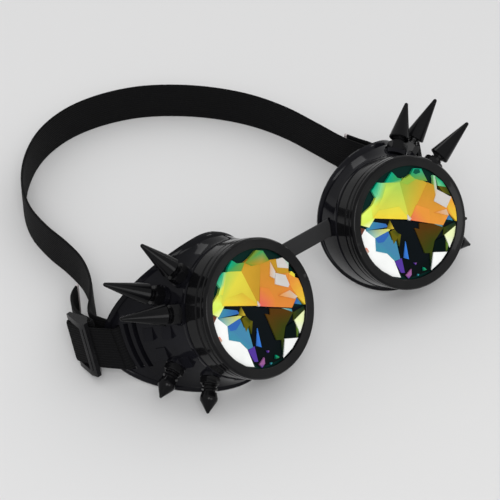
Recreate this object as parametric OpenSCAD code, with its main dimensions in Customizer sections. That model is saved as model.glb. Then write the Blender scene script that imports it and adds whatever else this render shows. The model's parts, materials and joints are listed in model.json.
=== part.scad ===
// Spiked party goggles lying on a table: two eye cups with screw rings and faceted lenses,
// a nose bridge strip, and an elastic head strap with a slider at each temple.
// The goggles face -Y, +Z is up, and the table is the plane z = 0.

/* [Pose on the table] */
// Distance between the two lens axes at the front of the rings
lens_span = 86.4; // [82:0.2:96]
// Backward lean of the lenses, in degrees
lens_lean = 32; // [28:1:35]
// Inward turn of each lens, in degrees
toe_in = 6.2; // [3:0.2:8]

/* [Screw ring and lens] */
// Outer diameter of the screw ring's front band
ring_d = 59.3; // [57:0.1:63]
// Depth of the front band of the ring
ring_band_h = 6.4; // [5.5:0.1:8]
// Depth of the whole ring, with its skirt
ring_h = 13.9; // [12:0.1:16]
// Thickness of the ring's wall round the threaded tube
ring_wall = 2.25; // [2:0.05:2.8]
// Width of the step between the tube's outside and the lens edge
lens_step = 0.8; // [0.6:0.05:1.2]
// Width of the ring's lip over the lens edge
lens_lip = 1.6; // [1.2:0.1:3]
// Lead of the ring's thread in one turn
thread_pitch = 3; // [2:0.5:4]
// Thickness of the lens at its edge
lens_edge_h = 2.2; // [1.8:0.1:2.6]
// Height of the faceted dome over the edge
lens_dome_h = 2.4; // [1.5:0.1:3]
// Number of main facets round the lens
lens_facets = 12; // [8:1:16]
// Thickness of the gasket behind the lens
gasket_h = 0.8; // [0.6:0.1:1.2]
// Thickness of the tube's wall
tube_wall = 2.2; // [1.8:0.1:2.8]

/* [Eye cup] */
// Thickness of the cup's wall
wall_t = 2; // [1.6:0.1:2.4]
// Depth of the bead behind the ring
bead_h = 1.9; // [1.5:0.1:2.5]
// Reach of the rear rim towards the temple, from the rim's middle
rim_temple = 38; // [36:0.5:40]
// Reach of the rear rim towards the nose, from the rim's middle
rim_nose = 30.6; // [30:0.1:31.5]
// Half the height of the rear rim
rim_half_h = 33.4; // [32:0.1:35]
// Depth of the rear rim at its top, behind the ring's front
rim_top_q = 23.4; // [23:0.1:26]
// Extra depth of the rim at the temple
rim_temple_drop = 37; // [34:0.5:40]
// Extra depth of the rim at the nose
rim_nose_drop = 9; // [6:0.5:11]
// Width of the rounded lip along the rim
lip_w = 2.2; // [1.8:0.1:2.6]
// How far the lip stands out of the wall
lip_out = 0.8; // [0.4:0.1:1.2]
// Width of the groove in front of the lip
groove_w = 1.5; // [1:0.1:2]
// Depth of that groove
groove_in = 0.7; // [0.4:0.1:1]
// Number of raised vents on the temple side
vent_count = 4; // [2:1:4]
// Length and width of a vent
vent_size = 5.2; // [4:0.1:5.8]

/* [Strap slots] */
// Width of each slot
slot_w = 2.4; // [2.2:0.1:2.6]
// Width of the bars between the slots
slot_bar_w = 1.9; // [1.6:0.1:2.2]
// Distance from the rim to the rearmost slot, along the cup's depth
end_bar_w = 8.5; // [8:0.1:9.5]
// Height of the slots over the middle of the cup
slot_v = 0.2; // [-1:0.1:1]
// Room at each end of a slot beyond the strap's edges
slot_play = 0.8; // [0.5:0.1:1.2]
// Extra thickness inside the wall at the two empty slots
slot_land = 1; // [0.6:0.1:1.2]

/* [Head strap] */
// Width of the elastic strap
strap_w = 19.2; // [18:0.2:20.4]
// Thickness of the elastic strap
strap_t = 1.3; // [1:0.1:1.5]
// Reach of the loop behind the lens axes, on the table
strap_back = 194; // [180:1:210]

/* [Slider] */
// Height of the slider, across the strap
slider_tall = 26; // [25:0.5:28]
// Length of the slider, along the strap
slider_long = 15.2; // [14.5:0.1:17]
// Thickness of the slider's bars
slider_bar_t = 2; // [1.8:0.1:2.2]
// Width of the front bar
slider_front_w = 4; // [3.5:0.1:4.5]
// Lean of the slider from the vertical, in degrees
slider_lean = 18; // [14:1:22]
// Turn of the slider's rear end away from the head, in degrees
slider_yaw = 8; // [4:1:12]
// Distance from the middle plane to the slider
slider_x = 95.3; // [95:0.1:97]
// Distance of the slider behind the lens axes
slider_y = 53.6; // [53:0.1:56]

/* [Spikes] */
// Length of the cone of the rear and front spikes
spike_l = 20.4; // [18:0.1:22]
// Length of the cone of the upper spikes
upper_spike_l = 17.8; // [16:0.1:20]
// Diameter of a large spike's base
spike_d = 9.2; // [8:0.1:9.6]
// Radius of a large spike's blunt tip
spike_tip_r = 0.95; // [0.6:0.05:1.2]
// Length of a small spike's bullet
bullet_l = 9; // [8:0.1:10]
// Diameter of a small spike's bullet
bullet_d = 7.6; // [7:0.1:8]
// Radius of a small spike's blunt tip
bullet_tip_r = 0.8; // [0.5:0.05:1]
// Diameter of the threaded shanks
shank_d = 4; // [3.5:0.1:4.4]
// Width across the flats of the large hexagon nuts
nut_af = 8; // [7.5:0.1:8.6]
// Height of the large nuts
nut_h = 3.9; // [3.5:0.1:4.4]
// Width across the flats of the small hexagon nuts
small_nut_af = 7.4; // [7:0.1:7.8]
// Height of the small nuts
small_nut_h = 3; // [2.5:0.1:3.5]

/* [Nose bridge] */
// Width of the bridge strip
bridge_w = 7.5; // [6:0.1:9]
// Thickness of the bridge strip
bridge_t = 1.6; // [1.2:0.1:2]
// Height of the strip over the middle of the cups
bridge_v = 9.4; // [8:0.1:12]
// Depth of the strip behind the ring's front
bridge_q = 20.5; // [20:0.1:22]

/* [Hidden] */

// Clearances
fit = 0.05;
gap = 0.3;
seat = 0.15;

// Colours
gloss_black = [0.05, 0.05, 0.06];
satin_black = [0.08, 0.08, 0.09];
strap_black = [0.1, 0.1, 0.1];
crystal = [0.85, 0.75, 0.35];

// Screw ring and front tube, as radii and depths behind the ring's front
ring_r = ring_d / 2;
skirt_r = ring_r - 0.15;
thread_r = ring_r - ring_wall;
lens_r = thread_r - lens_step;
aperture_r = lens_r - lens_lip;
bore_r = thread_r - tube_wall;
lip_q = lens_dome_h + 0.2;
lens_q = lip_q + fit;
gasket_q = lens_q + lens_edge_h + fit;
tube_q = gasket_q + gasket_h;
bead_q = ring_h + gap;
wall_q = bead_q + bead_h;
bead_r = ring_r;
thread_groove = 0.5;

// The cup's local frame: x to the temple, y up, z out of the lens
n_dir = [-sin(toe_in), -cos(toe_in) * cos(lens_lean), cos(toe_in) * sin(lens_lean)];
u_dir = [cos(toe_in), -sin(toe_in) * cos(lens_lean), sin(toe_in) * sin(lens_lean)];
v_dir = [0, sin(lens_lean), cos(lens_lean)];
function rel(u, v, q) = u * u_dir + v * v_dir - q * n_dir;

// Rear rim of the cup at the angle a, as [u, v, depth]
rim_u = 2.5;
rim_v = 0.8;
function rim_reach(a) = cos(a) > 0 ? rim_temple : rim_nose;
function rim_drop(a) = (cos(a) > 0 ? rim_temple_drop : rim_nose_drop) * pow(cos(a), 2);
function rim(a) = [rim_u + rim_reach(a) * cos(a), rim_v + rim_half_h * sin(a), rim_top_q + rim_drop(a)];
function neck(a) = [bead_r * cos(a), bead_r * sin(a), wall_q];
function wall_len(a) = norm(rim(a) - neck(a));

// Point of the wall: f runs from the bead to the rim, off is measured outwards
flare = 1.25;
function wall_pt(a, f, off) =
    let (p = neck(a), r = rim(a), g = pow(max(f, 0), flare), d = [cos(a), sin(a)])
    [p[0] + (r[0] - p[0]) * g + off * d[0], p[1] + (r[1] - p[1]) * g + off * d[1], p[2] + (r[2] - p[2]) * f];
function depth_f(a, q) = (q - wall_q) / (rim(a)[2] - wall_q);
function temple_u(q) = wall_pt(0, depth_f(0, q), 0)[0];

// The lens axes stand so high that the rims touch the table
steps = 120;
low = min([for (i = [0:steps - 1]) let (p = wall_pt(i * 360 / steps, 1, lip_out)) rel(p[0], p[1], p[2])[2]]);
lens_z = -low;
front_y = -ring_r * sqrt(1 - pow(n_dir[1], 2));
mid_y = (front_y + strap_back) / 2;
base = [lens_span / 2, -mid_y, lens_z];
function world(u, v, q) = base + rel(u, v, q);

// Strap slots, as depths of their front edges
slot_q = [for (i = [0:2]) rim(0)[2] - end_bar_w - slot_w - i * (slot_w + slot_bar_w)];
slot_len = strap_w + 2 * slot_play;

// Spike seats as [angle round the lens, depth, backward lean, sideways lean, extra height of the boss]
left_large = [[52, 18.8, -1, 5, 0], [34.9, 27.2, 8, 2, 0], [22.1, 17.4, 9, -1, 0]];
right_large = [[57, 20.8, 12, -11, 0], [40, 28.4, -12, 0, 2.2], [25.8, 17.4, -12, 1, 1.8]];
left_small = [[-21, 29.8, -3, -9, 0], [-42, 20, -9, -9, 0]];
right_small = [[-23, 28.5, -8, 0, 0], [-38, 20.5, -5, 1, 0]];
function large_spots(side) = side < 0 ? left_large : right_large;
function small_spots(side) = side < 0 ? left_small : right_small;
function all_spots(side) = concat(large_spots(side), small_spots(side));
large_boss_r = 5;
small_boss_r = 4.4;
neck_h = 2.4;
small_neck_h = 3.6;
boss_h = 0.6;

module place_right() {
    translate(base) rotate([90 - lens_lean, 0, 0]) rotate([0, -toe_in, 0]) children();
}

module place(side) {
    if (side > 0) place_right() children();
    else mirror([1, 0, 0]) place_right() children();
}

// A solid of revolution round the lens axis, from [radius, depth] points
module turned(points) {
    rotate_extrude($fn = 144) polygon([for (p = points) [p[0], -p[1]]]);
}

// Closed shell from a grid of points: rows run round the profile, columns round the axis
function grid_faces(rows, cols) = [
    for (i = [0:rows - 1], j = [0:cols - 1])
        let (a = i * cols + j, b = i * cols + (j + 1) % cols)
        let (c = ((i + 1) % rows) * cols + (j + 1) % cols, d = ((i + 1) % rows) * cols + j)
        each [[a, b, c], [a, c, d]]
];

wall_cols = 96;
wall_rows = 6;
lip_stations = [
    [groove_w + lip_w + 0.4, 0], [groove_w + lip_w, -groove_in], [lip_w + 0.3, -groove_in],
    [lip_w, 0.3 * lip_out], [lip_w * 0.6, lip_out], [lip_w * 0.15, 0.8 * lip_out], [0, 0.2 * lip_out]
];
function station_f(a, d) = 1 - d / wall_len(a);
function outer_row(a) = concat(
    [for (i = [0:wall_rows - 1]) [station_f(a, lip_stations[0][0]) * i / wall_rows, 0]],
    [for (s = lip_stations) [station_f(a, s[0]), s[1]]]
);

// Inner side, from the rim to the bead: the wall is thicker where the empty slots pass through it
land_margin = 1.2;
land_slope = 0.5;
land_angle = 19;
behind_land = 0.88;
before_land = [0.34, 0.17, 0];
land_q = [slot_q[0] - 0.1, slot_q[0] - 0.1 - land_slope,
    slot_q[2] - land_margin, slot_q[2] - land_margin - land_slope];
function near_temple(a) = cos(a) > cos(land_angle);
function inner_row(a) = concat(
    [[station_f(a, 0.2) - 0.01, -wall_t], [behind_land, -wall_t]],
    [for (i = [0:3]) [depth_f(near_temple(a) ? a : 0, land_q[i]),
        -wall_t - (near_temple(a) && (i == 1 || i == 2) ? slot_land : 0)]],
    [for (f = before_land) [f, -wall_t]]
);
function wall_profile(a) = concat(outer_row(a), inner_row(a));
wall_n = len(wall_profile(0));

module cup_wall() {
    points = [
        for (k = [0:wall_n - 1], j = [0:wall_cols - 1])
            let (a = j * 360 / wall_cols, s = wall_profile(a)[k], p = wall_pt(a, s[0], s[1]))
            [p[0], p[1], -p[2]]
    ];
    polyhedron(points, grid_faces(wall_n, wall_cols), convexity = 8);
}

module cup_front() {
    turned([
        [bore_r, tube_q], [thread_r - 0.4, tube_q], [thread_r, tube_q + 0.4],
        [thread_r, tube_q + 1.6], [thread_r - thread_groove, tube_q + 2.1], [thread_r, tube_q + 2.6],
        [thread_r, tube_q + 4.6], [thread_r - thread_groove, tube_q + 5.1], [thread_r, tube_q + 5.6],
        [thread_r, bead_q], [bead_r - 0.4, bead_q], [bead_r, bead_q + 0.4],
        [bead_r, wall_q - 0.3], [bead_r - 0.1, wall_q + 0.5],
        [bead_r - wall_t - 0.1, wall_q + 0.5], [bore_r, wall_q - 1.2]
    ]);
}

// Radius of the wall's outside at an angle and a depth
function wall_r(a, q) = let (p = wall_pt(a, depth_f(a, q), 0)) norm([p[0], p[1]]);

// Frame of a spike: z points out of the cup, at the seat of its nut
module at_spike(spot) {
    seat_r = wall_r(spot[0], spot[1]) + boss_h + spot[4];
    rotate([0, 0, spot[0]]) translate([seat_r, 0, -spot[1]])
        rotate([0, 90 + spot[2], 0]) rotate([-spot[3], 0, 0]) children();
}

module boss(spot, r) {
    at_spike(spot) translate([0, 0, -wall_t - spot[4]]) cylinder(h = wall_t + spot[4], r = r, $fn = 48);
}

// Round bosses under the nuts, trimmed behind the ring
module bosses(side) {
    intersection() {
        union() {
            for (s = large_spots(side)) boss(s, large_boss_r);
            for (s = small_spots(side)) boss(s, small_boss_r);
        }
        translate([0, 0, -bead_q - rim_temple]) cylinder(h = rim_temple, r = 2 * rim_temple, $fn = 96);
    }
}

// Room for the nuts, and the holes of the shanks
module seats_cut(side) {
    for (s = all_spots(side)) at_spike(s) {
        translate([0, 0, -2 * wall_t - s[4]]) cylinder(h = 4 * wall_t, d = shank_d + 2 * fit, $fn = 36);
        cylinder(h = nut_h, r = large_boss_r + gap, $fn = 48);
    }
}

module strap_slots() {
    for (q = slot_q)
        translate([temple_u(q) - 3 * wall_t, slot_v - slot_len / 2, -q - slot_w])
            cube([6 * wall_t, slot_len, slot_w]);
}

// A raised vent: a wedge that lies along the wall with its mouth downwards
vent_rise = 1.5;
vent_foot = 0.3;
vent_spots = [[8, 35.5], [8, 25.5], [-8, 32.3], [-19, 23]];
module vents() {
    for (i = [0:vent_count - 1]) {
        a = vent_spots[i][0];
        q = vent_spots[i][1];
        slope = wall_r(a, q + 0.5) - wall_r(a, q - 0.5);
        rotate([0, 0, a]) translate([wall_r(a, q), 0, -q]) rotate([0, -atan(slope), 0])
            linear_extrude(height = vent_size, center = true)
                polygon([[-wall_t / 2, vent_size / 2], [vent_foot, vent_size / 2],
                    [vent_rise, -vent_size / 2], [-wall_t / 2, -vent_size / 2]]);
    }
}

// Pocket in the bead's rear where the bridge strip ends
module bridge_pocket() {
    translate([-bead_r - 1, bridge_v - bridge_w / 2 - gap, -bridge_q - bridge_t / 2 - gap])
        cube([6, bridge_w + 2 * gap, bridge_t + 2 * gap]);
}

module eye_cup(side) {
    color(gloss_black) place(side) difference() {
        union() {
            cup_front();
            cup_wall();
            bosses(side);
            vents();
        }
        strap_slots();
        seats_cut(side);
        bridge_pocket();
    }
}

module lens_ring(side) {
    step = 0.3;
    color(gloss_black) place(side) turned([
        [aperture_r, 0.9], [ring_r - 1.1, 0], [ring_r - 0.8, 0], [ring_r, 1.1], [ring_r, 2.7],
        [ring_r - step, 2.9], [ring_r - step, 3.2], [ring_r, 3.4], [ring_r, ring_band_h - 0.4],
        [ring_r - 0.5, ring_band_h], [ring_r - 0.5, ring_band_h + 0.3], [skirt_r, ring_band_h + 0.6],
        [skirt_r, ring_h - 0.3], [skirt_r - 0.3, ring_h], [thread_r + fit, ring_h],
        [thread_r + fit, tube_q - 0.3], [lens_r + seat, tube_q - 0.3], [lens_r + seat, lip_q], [aperture_r, lip_q]
    ]);
}

// Faceted dome: an apex, a ring of corners, a staggered ring and the girdle
dome_r1 = 0.62;
dome_r2 = 0.86;
dome_h1 = 0.62;
dome_h2 = 0.30;
function ring_pts(n, r, z, turn) = [for (i = [0:n - 1]) [r * cos(i * 360 / n + turn), r * sin(i * 360 / n + turn), z]];
module crystal_lens(side) {
    n = lens_facets;
    half = 180 / n;
    edge_z = -lens_q;
    points = concat(
        [[0, 0, edge_z + lens_dome_h]],
        ring_pts(n, dome_r1 * aperture_r, edge_z + dome_h1 * lens_dome_h, 0),
        ring_pts(n, dome_r2 * aperture_r, edge_z + dome_h2 * lens_dome_h, half),
        ring_pts(2 * n, aperture_r - 0.2, edge_z, 0)
    );
    a = 1;
    b = 1 + n;
    c = 1 + 2 * n;
    faces = concat(
        [for (i = [0:n - 1]) each [
            [0, a + (i + 1) % n, a + i],
            [a + i, a + (i + 1) % n, b + i],
            [a + i, b + i, c + 2 * i],
            [a + i, c + 2 * i, b + (i + n - 1) % n],
            [b + i, c + 2 * i + 1, c + 2 * i],
            [b + i, c + (2 * i + 2) % (2 * n), c + 2 * i + 1]
        ]],
        [[for (i = [0:2 * n - 1]) c + i]]
    );
    color(crystal) place(side) {
        union() {
            polyhedron(points, faces, convexity = 4);
            translate([0, 0, edge_z - lens_edge_h]) cylinder(h = lens_edge_h, r = lens_r, $fn = 144);
        }
    }
}

module lens_gasket(side) {
    color(satin_black) place(side)
        turned([[bore_r, gasket_q], [lens_r, gasket_q], [lens_r, tube_q], [bore_r, tube_q]]);
}

// Turned body of a large spike, with its neck and threaded shank
module large_spike(side, i) {
    spot = large_spots(side)[i];
    cone_l = i == 0 ? upper_spike_l : spike_l;
    r = spike_d / 2;
    z0 = nut_h + neck_h;
    foot = -wall_t - spot[4];
    color(gloss_black) place(side) at_spike(spot) rotate_extrude($fn = 72) polygon([
        [0, foot], [shank_d / 2, foot], [shank_d / 2, nut_h + 0.1],
        [0.58 * r, nut_h + 0.1], [0.58 * r, nut_h + 0.9], [0.46 * r, nut_h + 1.1], [0.46 * r, nut_h + 1.5],
        [0.6 * r, nut_h + 1.7], [0.6 * r, z0], [r - 0.3, z0], [r, z0 + 0.4],
        [0.62 * r, z0 + 0.46 * cone_l], [spike_tip_r, z0 + cone_l - 1.3 * spike_tip_r],
        [0.85 * spike_tip_r, z0 + cone_l - 0.6 * spike_tip_r],
        [0.5 * spike_tip_r, z0 + cone_l - 0.16 * spike_tip_r], [0, z0 + cone_l]
    ]);
}

module small_stud(side, i) {
    spot = small_spots(side)[i];
    r = bullet_d / 2;
    z0 = small_nut_h + small_neck_h;
    color(gloss_black) place(side) at_spike(spot) rotate_extrude($fn = 60) polygon([
        [0, -wall_t], [shank_d / 2, -wall_t], [shank_d / 2, small_nut_h + 0.1],
        [0.86 * r, small_nut_h + 0.1], [0.86 * r, small_nut_h + 0.8], [0.66 * r, small_nut_h + 1],
        [0.66 * r, small_nut_h + 1.5], [0.9 * r, small_nut_h + 1.7], [0.9 * r, small_nut_h + 2.3],
        [0.66 * r, small_nut_h + 2.5], [0.66 * r, z0 - 0.3], [0.84 * r, z0], [r, z0 + 0.26 * bullet_l],
        [0.96 * r, z0 + 0.38 * bullet_l], [bullet_tip_r, z0 + bullet_l - 1.1 * bullet_tip_r],
        [0.7 * bullet_tip_r, z0 + bullet_l - 0.35 * bullet_tip_r], [0, z0 + bullet_l]
    ]);
}

module hex_nut(af, h) {
    corner = af / cos(30);
    difference() {
        intersection() {
            cylinder(h = h, d = corner, $fn = 6);
            rotate_extrude($fn = 60)
                polygon([[0, 0], [af / 2, 0], [corner / 2, 0.5], [corner / 2, h - 0.5], [af / 2, h], [0, h]]);
        }
        translate([0, 0, -1]) cylinder(h = h + 2, d = shank_d + 2 * fit, $fn = 36);
    }
}

module spike_nuts(side) {
    color(gloss_black) place(side) {
        for (s = large_spots(side)) at_spike(s) hex_nut(nut_af, nut_h);
        for (s = small_spots(side)) at_spike(s) hex_nut(small_nut_af, small_nut_h);
    }
}

// Flat strip between the cups; its ends sit in the pockets
bridge_end = 2.2;
module nose_bridge() {
    pocket = rel(-bead_r + bridge_end, bridge_v, bridge_q);
    tip = base + pocket;
    color(satin_black)
        translate([0, tip[1], tip[2]]) rotate([90 - lens_lean, 0, 0])
            cube([2 * tip[0], bridge_w, bridge_t], center = true);
}

// Slider frame: x outwards from the head, y up along the strap's width, z forwards
slider_c = [slider_x, slider_y - mid_y, slider_tall / 2 * cos(slider_lean) + slider_long / 2 * sin(slider_lean) + 0.3];
fwd_flat = [-sin(slider_yaw), -cos(slider_yaw) * cos(slider_lean), cos(slider_yaw) * sin(slider_lean)];
up_dir = [0, sin(slider_lean), cos(slider_lean)];
out_dir = [cos(slider_yaw), -sin(slider_yaw) * cos(slider_lean), sin(slider_yaw) * sin(slider_lean)];
layer = slider_bar_t / 2 + seat + strap_t / 2;
rear_bar_f = -slider_long / 2 + slider_bar_t / 2;
centre_bar_at = 5.6;
function slider_pt(o, f) = slider_c + o * out_dir + f * fwd_flat;

module slider_body() {
    bar = slider_bar_t;
    half_l = slider_long / 2;
    rise = layer + strap_t / 2 + seat;
    cheek = (slider_tall - strap_w) / 2 - 0.6;
    // round rear bar and flat centre bar
    translate([0, 0, rear_bar_f]) rotate([90, 0, 0]) cylinder(h = slider_tall, d = bar, center = true, $fn = 36);
    translate([-bar / 2, -slider_tall / 2, -half_l + centre_bar_at]) cube([bar, slider_tall, bar]);
    // raised front bar with its groove
    difference() {
        translate([rise, -slider_tall / 2, half_l - slider_front_w]) cube([bar, slider_tall, slider_front_w]);
        translate([rise + bar - 0.4, -slider_tall / 2 - 1, half_l - slider_front_w / 2 - 0.25])
            cube([1, slider_tall + 2, 0.5]);
    }
    // cheeks above and below the strap
    for (s = [-1, 1])
        translate([0, s * (slider_tall - cheek) / 2, 0]) rotate([90, 0, 0])
            linear_extrude(height = cheek, center = true)
                polygon([[-bar / 2, -half_l], [bar / 2, -half_l], [rise + bar, half_l - slider_front_w],
                    [rise + bar, half_l], [rise, half_l], [-bar / 2, half_l - slider_front_w]]);
}

module strap_slider(side) {
    color(gloss_black) mirror([side < 0 ? 1 : 0, 0, 0])
        translate(slider_c) rotate([90 - slider_lean, 0, 0]) rotate([0, -slider_yaw, 0]) slider_body();
}

// Head strap: the centre line is a smooth curve through points [x, y, z, lean]
table_z = strap_w / 2;
function arc2(c, r, a0, a1, n) = [for (i = [0:n]) let (a = a0 + (a1 - a0) * i / n) [c[0] + r * cos(a), c[1] + r * sin(a)]];

// Turns in the slider, as [outwards, forwards], from the tail to the outer layer
fold_f = slider_long / 2 - 6.5;
fold_r = strap_t;
slider_turns = concat(
    arc2([-layer - fold_r, fold_f], fold_r, 180, 0, 8),
    arc2([0, rear_bar_f], layer, 180, 360, 10)
);
function ease(k) = let (c = max(0, min(1, k))) c * c * (3 - 2 * c);

// The band stands upright on the table from upright_y, and is lifted near the cups
lean_y = slider_y + 8;
upright_y = lean_y + 25;
lift_y = slider_y + 4.4;
rest_y = lift_y + 30;
lift = 2.2;
function lean_of(y) = slider_lean * (1 - ease((y + mid_y - lean_y) / (upright_y - lean_y)));
function loop_z(y) = table_z + lift * (1 - ease((y - lift_y) / (rest_y - lift_y)));

// Turn round the end bar, in the cup's frame as [u, depth]; the bar bows between the strap's edges
end_q = slot_q[0] + slot_w;
bow_s = (strap_w / 2 + slot_v - rim_v) / rim_half_h;
bow = rim_temple * (1 - sqrt(1 - bow_s * bow_s));
turn_u = temple_u(end_q) - (wall_t + bow) / 2;
turn_gap = 0.3;
turn_rad = [(wall_t + bow) / 2 + turn_gap + strap_t / 2, 1 + strap_t / 2];
bar_turn = [for (i = [0:8]) let (a = 15 - i * 22.5) [turn_u + turn_rad[0] * cos(a), end_q + turn_rad[1] * sin(a)]];

// Free part, from the left slider round the back to the right slider, as [x, y, lean]
loop_points = [
    [-86.5, 60], [-79.5, 70], [-72, 82], [-66.5, 96], [-65, 110], [-65, 125], [-62.5, 142], [-55, 158.5],
    [-41.5, 175], [-24, 187.5], [-5, 193.2], [14, 192.4], [34, 185.5], [50.5, 173.5], [63.5, 159],
    [73.5, 142], [79.5, 123], [82, 104], [84, 86], [86.5, 70], [87.5, 60]
];

// Tails behind the sliders, as [x, y] from the tip; the right one lies outside the band
left_tail = [[78.6, 82.6], [84.2, 78.4], [88.2, 71.4], [90, 64]];
right_tail = [[86.6, 88], [88.4, 80], [90, 72], [91, 64]];

// One end of the strap on the right side, from the tail's tip to the inside of the wing
function end_path(tail_points) = concat(
    [for (p = tail_points) [p[0], p[1] - mid_y, loop_z(p[1]), lean_of(p[1] - mid_y)]],
    [for (p = slider_turns) let (w = slider_pt(p[0], p[1])) [w[0], w[1], w[2], slider_lean]],
    [let (w = slider_pt(layer, 0)) [w[0], w[1], w[2], slider_lean]],
    [let (w = slider_pt(layer, slider_long / 2 - 2)) [w[0], w[1], w[2], slider_lean]],
    [for (p = bar_turn) let (w = world(p[0], slot_v, p[1])) [w[0], w[1], w[2], lens_lean]]
);
function flip(p) = [-p[0], p[1], p[2], p[3]];
loop_start = loop_points[0][1];
loop_reach = 194;
function loop_y(y) = loop_start + (y - loop_start) * (strap_back - loop_start) / (loop_reach - loop_start);
right_end = end_path(right_tail);
strap_keys = concat(
    [for (p = end_path(left_tail)) flip(p)],
    [for (p = loop_points) let (y = loop_y(p[1])) [p[0], y - mid_y, loop_z(y), lean_of(y - mid_y)]],
    [for (i = [len(right_end) - 1:-1:0]) right_end[i]]
);

// Smooth curve from p1 to p2: the slopes at its ends allow for keys at uneven distances
function knot(p, q) = sqrt(max(0.001, norm([q[0] - p[0], q[1] - p[1], q[2] - p[2]])));
function cr(p0, p1, p2, p3, t) =
    let (a = knot(p0, p1), b = knot(p1, p2), c = knot(p2, p3))
    let (m1 = b * ((p1 - p0) / a - (p2 - p0) / (a + b)) + p2 - p1)
    let (m2 = b * ((p3 - p2) / c - (p3 - p1) / (b + c)) + p2 - p1)
    p1 + m1 * t + (3 * (p2 - p1) - 2 * m1 - m2) * t * t + (2 * (p1 - p2) + m1 + m2) * t * t * t;
function key(i) = strap_keys[max(0, min(len(strap_keys) - 1, i))];
function span_steps(i) = norm([key(i + 1)[0] - key(i)[0], key(i + 1)[1] - key(i)[1]]) > 6 ? 4 : 1;
strap_line = concat(
    [for (i = [0:len(strap_keys) - 2], j = [0:span_steps(i) - 1])
        cr(key(i - 1), key(i), key(i + 1), key(i + 2), j / span_steps(i))],
    [key(len(strap_keys) - 1)]
);

module head_strap() {
    last = len(strap_line) - 1;
    points = [
        for (i = [0:last])
            let (c = strap_line[i], a = strap_line[max(0, i - 1)], b = strap_line[min(last, i + 1)])
            let (t = [b[0] - a[0], b[1] - a[1], b[2] - a[2]], p = [c[0], c[1], c[2]])
            let (h = [0, sin(c[3]), cos(c[3])], m = cross(t, h), s = m / norm(m))
            each [p + s * strap_t / 2 + h * strap_w / 2, p - s * strap_t / 2 + h * strap_w / 2,
                p - s * strap_t / 2 - h * strap_w / 2, p + s * strap_t / 2 - h * strap_w / 2]
    ];
    faces = concat(
        [[3, 2, 1, 0]],
        [for (i = [0:last - 1], k = [0:3])
            let (a = 4 * i + k, b = 4 * i + (k + 1) % 4)
            each [[a, b, b + 4], [a, b + 4, a + 4]]],
        [[4 * last, 4 * last + 1, 4 * last + 2, 4 * last + 3]]
    );
    color(strap_black) polyhedron(points, faces, convexity = 12);
}

eye_cup(-1);  // left_eye_cup
eye_cup(1);  // right_eye_cup
lens_ring(-1);  // left_lens_ring
lens_ring(1);  // right_lens_ring
crystal_lens(-1);  // left_crystal_lens
crystal_lens(1);  // right_crystal_lens
lens_gasket(-1);  // left_lens_gasket
lens_gasket(1);  // right_lens_gasket
large_spike(-1, 0);  // left_upper_spike
large_spike(-1, 1);  // left_rear_spike
large_spike(-1, 2);  // left_front_spike
large_spike(1, 0);  // right_upper_spike
large_spike(1, 1);  // right_rear_spike
large_spike(1, 2);  // right_front_spike
small_stud(-1, 0);  // left_rear_stud
small_stud(-1, 1);  // left_front_stud
small_stud(1, 0);  // right_rear_stud
small_stud(1, 1);  // right_front_stud
spike_nuts(-1);  // left_spike_nuts
spike_nuts(1);  // right_spike_nuts
strap_slider(-1);  // left_strap_slider
strap_slider(1);  // right_strap_slider
nose_bridge();
head_strap();
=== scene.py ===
# %% [markdown]
# Spiked party goggles. The construction comes packed from the CAD step: cups, screw rings,
# spikes, nuts, sliders, bridge and strap, each on the body it moves with. This file gives them
# their looks: gloss black plastic, cut rainbow lenses and a ribbed elastic strap.

import json
import math

import bmesh
import bpy
import numpy as np
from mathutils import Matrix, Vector

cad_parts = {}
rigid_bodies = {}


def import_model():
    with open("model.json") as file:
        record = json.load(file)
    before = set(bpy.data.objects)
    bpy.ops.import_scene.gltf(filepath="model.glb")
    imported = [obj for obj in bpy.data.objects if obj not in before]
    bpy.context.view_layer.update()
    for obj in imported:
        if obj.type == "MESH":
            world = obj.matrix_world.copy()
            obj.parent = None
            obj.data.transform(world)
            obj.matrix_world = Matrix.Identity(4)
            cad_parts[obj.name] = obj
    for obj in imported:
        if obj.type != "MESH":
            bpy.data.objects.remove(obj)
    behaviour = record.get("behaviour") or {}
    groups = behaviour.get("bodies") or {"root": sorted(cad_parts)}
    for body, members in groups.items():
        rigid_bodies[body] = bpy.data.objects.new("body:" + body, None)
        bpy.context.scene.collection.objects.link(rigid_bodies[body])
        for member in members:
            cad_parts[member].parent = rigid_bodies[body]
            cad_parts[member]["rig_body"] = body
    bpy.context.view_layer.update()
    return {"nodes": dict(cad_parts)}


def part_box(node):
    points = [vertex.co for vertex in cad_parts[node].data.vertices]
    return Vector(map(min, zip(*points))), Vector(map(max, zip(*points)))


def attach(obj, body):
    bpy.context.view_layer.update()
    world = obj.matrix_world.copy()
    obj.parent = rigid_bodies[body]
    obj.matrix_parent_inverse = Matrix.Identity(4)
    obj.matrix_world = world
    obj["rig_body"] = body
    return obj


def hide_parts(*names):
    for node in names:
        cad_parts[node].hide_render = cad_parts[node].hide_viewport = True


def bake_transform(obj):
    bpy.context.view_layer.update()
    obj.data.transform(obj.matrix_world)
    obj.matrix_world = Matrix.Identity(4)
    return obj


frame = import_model()

# %% [markdown]
# Sizes are in metres and repeat the named values of the CAD source. Each cup has its own frame: u
# towards the temple, v up, and q the depth behind the front of its screw ring. Where the right
# ring's front lies is measured: the gasket is a flat ring on the lens axis, so the middle of its
# box lies at a known depth. The left cup mirrors the right one.

# %% Frames of the two cups
LEAN, TOE = math.radians(32), math.radians(6.2)
LENS_OUT = np.array([-math.sin(TOE), -math.cos(TOE) * math.cos(LEAN), math.cos(TOE) * math.sin(LEAN)])
TEMPLE_WAY = np.array([math.cos(TOE), -math.sin(TOE) * math.cos(LEAN), math.sin(TOE) * math.sin(LEAN)])
UP_WAY = np.array([0.0, math.sin(LEAN), math.cos(LEAN)])

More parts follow.
